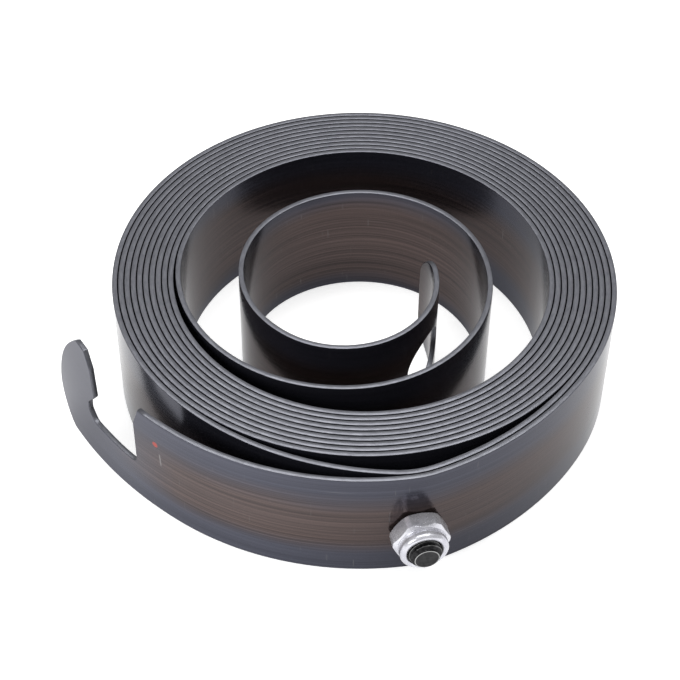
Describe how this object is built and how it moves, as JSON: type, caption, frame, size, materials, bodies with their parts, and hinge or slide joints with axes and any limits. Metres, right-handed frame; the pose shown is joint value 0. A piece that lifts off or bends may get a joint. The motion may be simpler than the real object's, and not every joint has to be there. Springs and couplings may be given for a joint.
{
  "type": "constant force spring",
  "caption": "Flat spring steel strip wound in a close spiral coil, with a notched hook at its outer end and a clamp bolt through the outer turns.",
  "frame": {"origin": "on the axis of the coil, in the plane that the lower edge of the strip rests on", "axes": "+Z along the coil axis, away from the surface it lies on; -Y towards the side with the clamp bolt; the hook is at the left, towards -X"},
  "size_m": [0.1068, 0.1068, 0.025],
  "materials": {
    "spring_steel": "blued spring steel, satin, brown along the middle of the strip",
    "black_oxide_steel": "black oxide, satin",
    "zinc_steel": "zinc plated, satin",
    "nylon": "plain nylon"
  },
  "bodies": {
    "root": {"spring_strip": "spring_steel", "clamp_bolt": "black_oxide_steel", "lock_nut": "zinc_steel", "nylon_ring": "nylon"}
  },
  "joints": []
}
